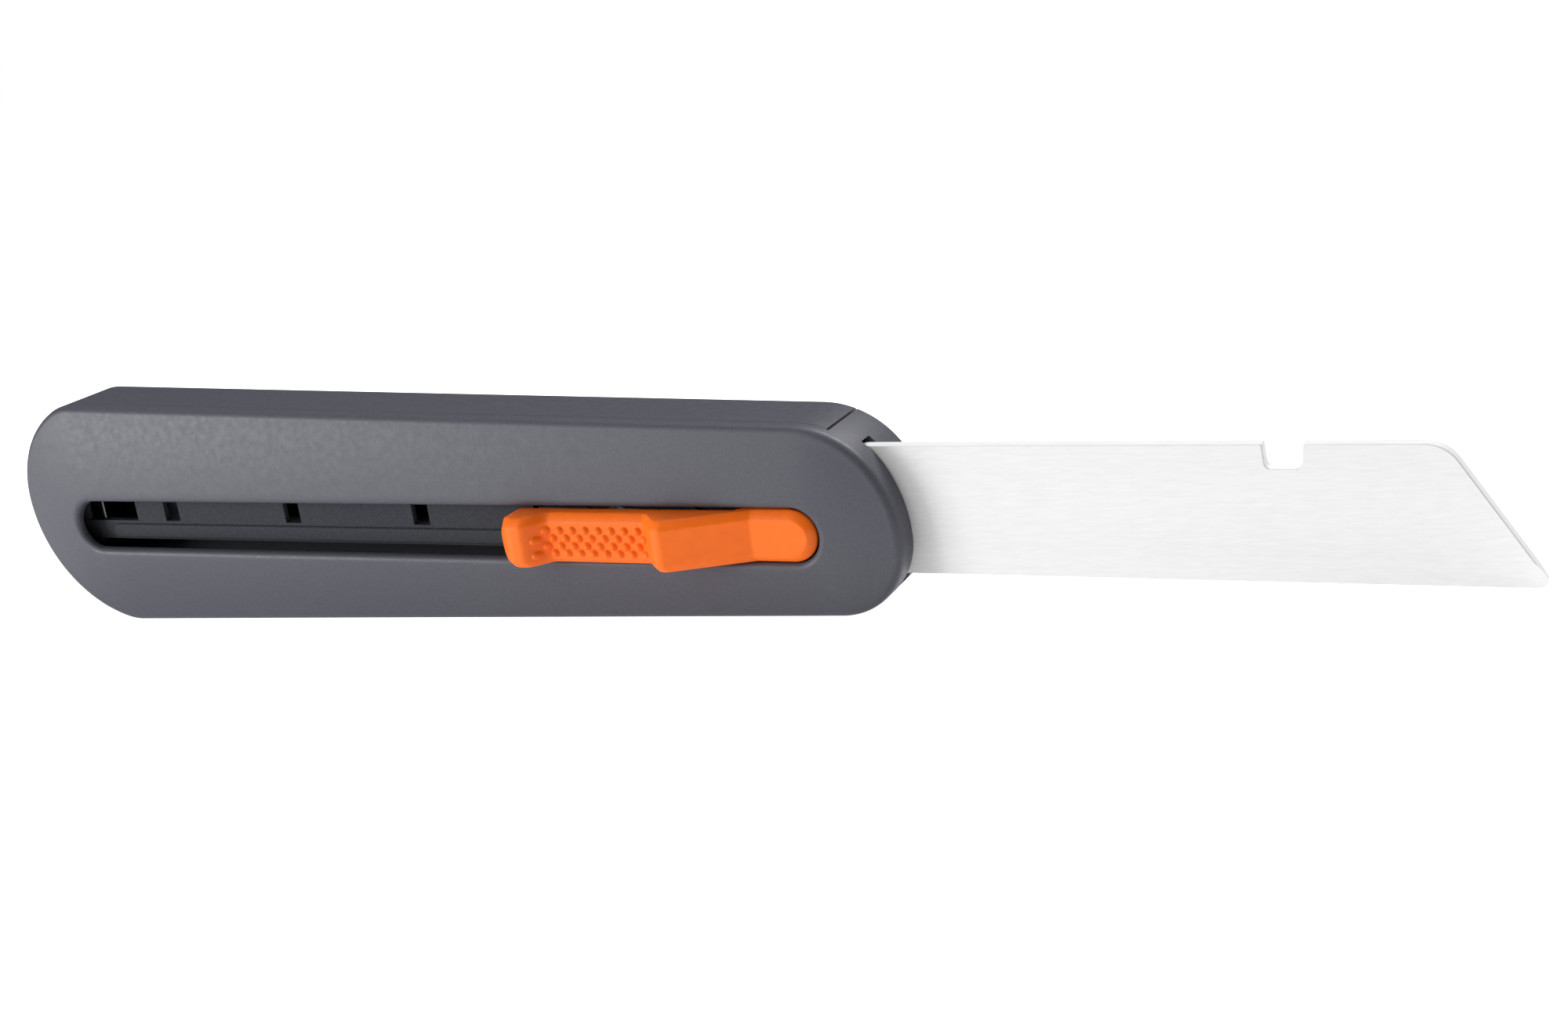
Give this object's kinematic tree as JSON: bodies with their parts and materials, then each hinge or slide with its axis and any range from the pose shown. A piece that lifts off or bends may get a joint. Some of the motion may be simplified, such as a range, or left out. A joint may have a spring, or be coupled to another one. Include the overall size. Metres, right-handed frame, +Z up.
{
  "type": "utility knife",
  "caption": "Slim tapered hand knife with a long slotted grip, a sliding finger button, a hinged back cover and a long straight blade that retracts into the nose.",
  "frame": {"origin": "centre of the overall box at its base: the handle stands on its flat lower edge at Z = 0", "axes": "+X towards the blade's tip, -Y out of the slotted face, +Z up towards the spine; the blade track points 2.18 degrees below +X because the handle tapers"},
  "size_m": [0.256, 0.0226, 0.04],
  "materials": {
    "shell": "fine moulded texture, matte",
    "slider": "satin moulded",
    "blade": "ground white zirconia",
    "inner_plastic": "plain black moulded",
    "steel": "plain rolled"
  },
  "bodies": {
    "handle": {"front_shell": "shell", "track_plate": "inner_plastic", "cover_hinge_pin": "steel", "track_screw_1": "steel", "track_screw_2": "steel", "track_screw_3": "steel", "track_screw_4": "steel"},
    "cover": {"back_cover": "shell", "blade_pressure_spring": "steel"},
    "carriage": {"slider_carriage": "inner_plastic", "blade_holder": "steel", "blade_locating_lug": "steel", "ceramic_blade": "blade", "blade_clip": "steel", "clip_screw": "steel", "carriage_screw_rear": "steel", "carriage_screw_front": "steel", "button_pivot_pin": "steel", "detent_spring": "steel", "button_return_spring": "steel"},
    "button": {"slider_button": "slider"}
  },
  "joints": [
    {"name": "blade_slide", "type": "slide", "parent": "handle", "child": "carriage", "axis": [0.9993, 0, -0.0381], "range_m": [-0.089, 0], "deforming": ["detent_spring"]},
    {"name": "button_press", "type": "hinge", "parent": "carriage", "child": "button", "pos_m": [0.02076, -0.0022, 0.0136], "axis": [-0.0381, 0, -0.9993], "range_deg": [0, 1.5], "stiffness_Nm_per_rad": 2, "springref_deg": -1.15, "deforming": ["button_return_spring"]},
    {"name": "cover_hinge", "type": "hinge", "parent": "handle", "child": "cover", "pos_m": [-0.1258, 0.00935, 0.02279], "axis": [0.0381, 0, 0.9993], "range_deg": [0, 100]}
  ]
}
